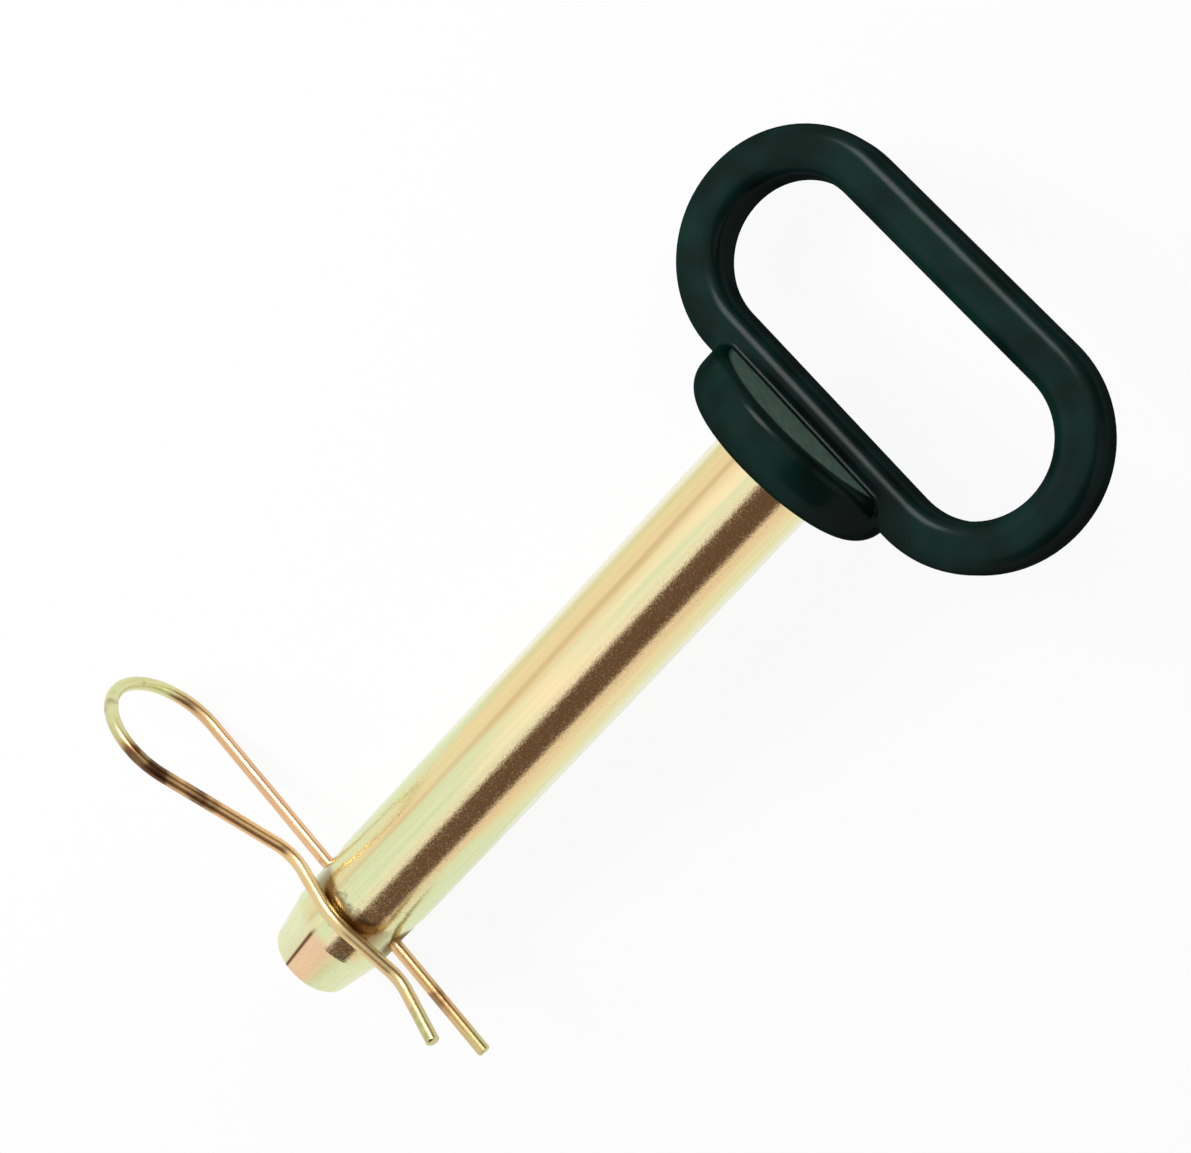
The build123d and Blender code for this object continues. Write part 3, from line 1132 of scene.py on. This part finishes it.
        flat = np.vstack([flat, [0, 0, 0], [total, 0, 0]])
        straightened = mesh.attributes.new("straightened", "FLOAT_VECTOR", "POINT")
        straightened.data.foreach_set("vector", flat.astype(np.float32).ravel())
        return mesh

    def build(self) -> None:
        """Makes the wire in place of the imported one."""
        wire = add_piece(
            "hairpin_wire", self.mesh(), "cotter", self.finish.material(self.total)
        )
        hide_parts("hairpin_cotter")


@dataclass
class Pin:
    """The forging and the skin on its head, both as imported."""

    place: PinFrame

    def build(self) -> None:
        """Dresses the steel and the coating."""
        dress("forged_pin", YellowZincPlate(self.place).material())
        dress("head_coating", DippedCoating(self.place).material())


@dataclass(frozen=True)
class SoftBox:
    """One lamp with a soft face, hung in a direction from the part and turned to it, in metres."""

    name: str
    towards: tuple[float, float, float]
    size: tuple[float, float]
    watts: float
    reach: Reach
    distance: float = 0.9

    def hang(self) -> None:
        """Makes the lamp."""
        data = bpy.data.lights.new(self.name, "AREA")
        data.shape = "RECTANGLE"
        data.size, data.size_y = self.size
        data.energy = self.watts
        obj = bpy.data.objects.new(self.name, data)
        bpy.context.scene.collection.objects.link(obj)
        way = Vector(self.towards).normalized()
        obj.location = way * self.distance
        obj.rotation_mode = "QUATERNION"
        obj.rotation_quaternion = way.to_track_quat("Z", "Y")
        obj.visible_diffuse = self.reach is Reach.BODY
        obj.visible_glossy = self.reach is Reach.GLOSS
        log.info("%s: %.1f W", self.name, self.watts)


@dataclass
class Studio:
    """A pale floor, a light tent with a dark gap along it, and soft lamps."""

    # The floor: its side in metres, its colour to plain light and to the eye, how rough it
    # is, how brightly it glows to gloss and in what share, and how clear it is to the eye.
    floor_size: float = 0.62
    floor_colour: str = "#A8A7A4"
    floor_white: str = "#FDFDFC"
    floor_roughness: float = 0.9
    floor_glow: float = 1.32
    glow_share: float = 0.7
    clear_share: float = 0.93
    # The gap: its two sides and its soft edge in degrees from the vertical. A drop or a
    # lift is two values of X and the degrees that a side has moved at the second.
    gap_from: float = 3.5
    gap_to: float = 63.0
    gap_drop: tuple[float, float, float] = (0.1, 0.4, 30.0)
    gap_soft: float = 2.5
    gap_lifts: tuple[tuple[float, float, float], ...] = ((-0.3, -0.5, 7.0), (0.0, 0.25, 10.0))
    # Values of X between which the gap begins at one end, and the tent opens at the other.
    gap_ends: tuple[float, float] = (-0.72, -0.66)
    open_end: tuple[float, float] = (0.72, 0.9)
    gap_colour: str = "#6B5C52"
    # How bright the tent is to plain light.
    ambient: float = 0.08
    lamps: tuple[SoftBox, ...] = (
        SoftBox("accent", towards=(0.55, 0.54, 0.64), size=(0.38, 0.34), watts=4.8, reach=Reach.GLOSS),
        SoftBox("overhead", towards=(-0.35, 0.8, 0.6), size=(0.6, 0.6), watts=10.0, reach=Reach.BODY),
        SoftBox("fill", towards=(0.88, 0.2, 0.44), size=(0.6, 0.6), watts=2.1, reach=Reach.BODY),
    )

    def seen_or_mirrored(self, tree: bpy.types.NodeTree) -> tuple[bpy.types.NodeSocket, bpy.types.NodeSocket]:
        """Tells the eye's rays and the gloss's rays from the rays of plain light.

        Args:
            tree: The node tree to add to.

        Returns:
            A socket that is 1 for the eye, and one that is 1 for gloss and transmission.
        """
        path = add_node(tree, "ShaderNodeLightPath")
        mirrored = add_node(
            tree,
            "ShaderNodeMath",
            {"operation": "MAXIMUM"},
            _0=path.outputs["Is Glossy Ray"],
            _1=path.outputs["Is Transmission Ray"],
        )
        return path.outputs["Is Camera Ray"], mirrored.outputs[0]

    def floor(self) -> None:
        """Lays the floor that the part rests on.

        To the eye it is white and mostly clear, so the shadow on it stays and what a
        joint moves below it still shows. To gloss it glows, and from below it is clear
        to all light, so what lies under it is lit as the rest is. Its points are a square
        grid round the origin, at a height of zero.
        """
        half = self.floor_size / 2
        side = np.linspace(-half, half, 3)
        x, y = np.meshgrid(side, side, indexing="ij")
        grid = np.stack([x, y, np.zeros_like(x)], -1)
        mesh = surface_mesh("floor", grid, Around.OPEN)
        obj = bpy.data.objects.new("floor", mesh)
        bpy.context.scene.collection.objects.link(obj)
        made, tree = blank_material("pale_floor")
        seen, mirrored = self.seen_or_mirrored(tree)
        colour = add_node(
            tree,
            "ShaderNodeMix",
            {"data_type": "RGBA"},
            Factor=seen,
            _6=linear(self.floor_colour),
            _7=linear(self.floor_white),
        )
        matte = add_node(
            tree,
            "ShaderNodeBsdfPrincipled",
            Base_Color=colour.outputs[2],
            Roughness=self.floor_roughness,
            Specular_IOR_Level=0.0,
        )
        glow = add_node(tree, "ShaderNodeEmission", Color=WHITE, Strength=self.floor_glow)
        glow_share = add_node(
            tree, "ShaderNodeMath", {"operation": "MULTIPLY"}, _0=mirrored, _1=self.glow_share
        )
        from_above = add_node(
            tree, "ShaderNodeMixShader", Fac=glow_share.outputs[0], _1=matte.outputs[0], _2=glow.outputs[0]
        )
        below = add_node(tree, "ShaderNodeNewGeometry").outputs["Backfacing"]
        clear = add_node(tree, "ShaderNodeBsdfTransparent")
        clear_share = add_node(
            tree, "ShaderNodeMath", {"operation": "MULTIPLY"}, _0=seen, _1=self.clear_share
        )
        either = add_node(
            tree, "ShaderNodeMath", {"operation": "MAXIMUM"}, _0=clear_share.outputs[0], _1=below
        )
        mixed = add_node(
            tree, "ShaderNodeMixShader", Fac=either.outputs[0], _1=from_above.outputs[0], _2=clear.outputs[0]
        )
        add_node(tree, "ShaderNodeOutputMaterial", Surface=mixed.outputs[0])
        mesh.materials.append(made)

    def tent(self) -> None:
        """Makes the world: white to the eye, and to gloss a white tent with a dark gap along X.

        The gap lies between two angles of the direction's part across X, from the
        vertical towards -Y. Each lift moves its near side away from the vertical by some
        degrees as X goes from one value to another, and the drop brings its far side
        nearer. The tent is open at its +X end.
        """
        world = bpy.data.worlds.new("tent")
        bpy.context.scene.world = world
        world.use_nodes = True
        tree = world.node_tree
        tree.nodes.clear()
        direction = add_node(tree, "ShaderNodeTexCoord").outputs["Generated"]
        parts = add_node(tree, "ShaderNodeSeparateXYZ", Vector=direction)
        aside = add_node(tree, "ShaderNodeMath", {"operation": "MULTIPLY"}, _0=parts.outputs["Y"], _1=-1.0)
        angle = add_node(
            tree, "ShaderNodeMath", {"operation": "ARCTAN2"}, _0=aside.outputs[0], _1=parts.outputs["Z"]
        )
        low, high, soft = (math.radians(x) for x in (self.gap_from, self.gap_to, self.gap_soft))
        sunk = angle.outputs[0]
        for first, last, lift in self.gap_lifts:
            lifted = add_node(
                tree,
                "ShaderNodeMapRange",
                Value=parts.outputs["X"],
                From_Min=first,
                From_Max=last,
                To_Max=math.radians(lift),
            )
            sunk = add_node(
                tree, "ShaderNodeMath", {"operation": "SUBTRACT"}, _0=sunk, _1=lifted.outputs[0]
            ).outputs[0]
        enters = add_node(
            tree,
            "ShaderNodeMapRange",
            {"interpolation_type": "SMOOTHSTEP"},
            Value=sunk,
            From_Min=low - soft,
            From_Max=low + soft,
        )
        first, last, drop = self.gap_drop
        dropped = add_node(
            tree,
            "ShaderNodeMapRange",
            Value=parts.outputs["X"],
            From_Min=first,
            From_Max=last,
            To_Max=math.radians(drop),
        )
        risen = add_node(
            tree, "ShaderNodeMath", {"operation": "ADD"}, _0=angle.outputs[0], _1=dropped.outputs[0]
        )
        leaves = add_node(
            tree,
            "ShaderNodeMapRange",
            {"interpolation_type": "SMOOTHSTEP"},
            Value=risen.outputs[0],
            From_Min=high + soft,
            From_Max=high - soft,
        )
        ends, opening = (
            add_node(
                tree,
                "ShaderNodeMapRange",
                {"interpolation_type": "SMOOTHSTEP"},
                Value=parts.outputs["X"],
                From_Min=start,
                From_Max=end,
            )
            for start, end in (self.gap_ends, self.open_end)
        )
        between = add_node(
            tree, "ShaderNodeMath", {"operation": "MULTIPLY"}, _0=enters.outputs[0], _1=leaves.outputs[0]
        )
        gap = add_node(
            tree, "ShaderNodeMath", {"operation": "MULTIPLY"}, _0=between.outputs[0], _1=ends.outputs[0]
        )
        dark = add_node(
            tree, "ShaderNodeMath", {"operation": "MAXIMUM"}, _0=gap.outputs[0], _1=opening.outputs[0]
        )
        wall = add_node(
            tree,
            "ShaderNodeMix",
            {"data_type": "RGBA"},
            Factor=dark.outputs[0],
            _6=WHITE,
            _7=linear(self.gap_colour),
        )
        seen, mirrored = self.seen_or_mirrored(tree)
        plain = add_node(
            tree,
            "ShaderNodeMix",
            {"data_type": "RGBA"},
            Factor=mirrored,
            _6=(self.ambient,) * 3 + (1.0,),
            _7=wall.outputs[2],
        )
        level = add_node(
            tree, "ShaderNodeMix", {"data_type": "RGBA"}, Factor=seen, _6=plain.outputs[2], _7=WHITE
        )
        background = add_node(tree, "ShaderNodeBackground", Color=level.outputs[2], Strength=1.0)
        add_node(tree, "ShaderNodeOutputWorld", Surface=background.outputs[0])

    def build(self) -> None:
        """Sets up floor, tent and lamps."""
        self.floor()
        self.tent()
        for lamp in self.lamps:
            lamp.hang()


@dataclass(frozen=True)
class Viewpoint:
    """Where the camera stands, and how it is held."""

    azimuth: float = 81.57
    elevation: float = 75.12
    roll: float = -128.49
    distance: float = 436.6 * MM
    aim: tuple[float, float, float] = (6.1 * MM, -0.2 * MM, 20.0 * MM)
    lens: float = 60.27
    sensor: float = 36.0
    clip: tuple[float, float] = (0.01, 20.0)

    def build(self) -> None:
        """Makes the scene's camera.

        It looks at the aim from the azimuth and elevation, where azimuth 0 looks along +Y
        and 90 along -X, and is then rolled about its own line of sight.
        """
        turn, lift, roll = (math.radians(x) for x in (self.azimuth, self.elevation, self.roll))
        back = Vector((math.sin(turn) * math.cos(lift), -math.cos(turn) * math.cos(lift), math.sin(lift)))
        level = Vector((math.cos(turn), math.sin(turn), 0))
        raised = back.cross(level)
        right = level * math.cos(roll) + raised * math.sin(roll)
        data = bpy.data.cameras.new("camera")
        data.lens, data.sensor_width = self.lens, self.sensor
        data.clip_start, data.clip_end = self.clip
        obj = bpy.data.objects.new("camera", data)
        bpy.context.scene.collection.objects.link(obj)
        held = Matrix((right, back.cross(right), back)).transposed().to_4x4()
        obj.matrix_world = Matrix.Translation(Vector(self.aim) + back * self.distance) @ held
        bpy.context.scene.camera = obj


def main() -> None:
    """Builds the looks in order."""
    logging.basicConfig(level=logging.INFO, format="%(name)s %(message)s")
    place = PinFrame.from_record()
    Pin(place).build()
    HairpinCotter(place).build()
    Studio().build()
    Viewpoint().build()
    bpy.context.scene.view_settings.view_transform = "Standard"


if __name__ == "__main__":
    main()
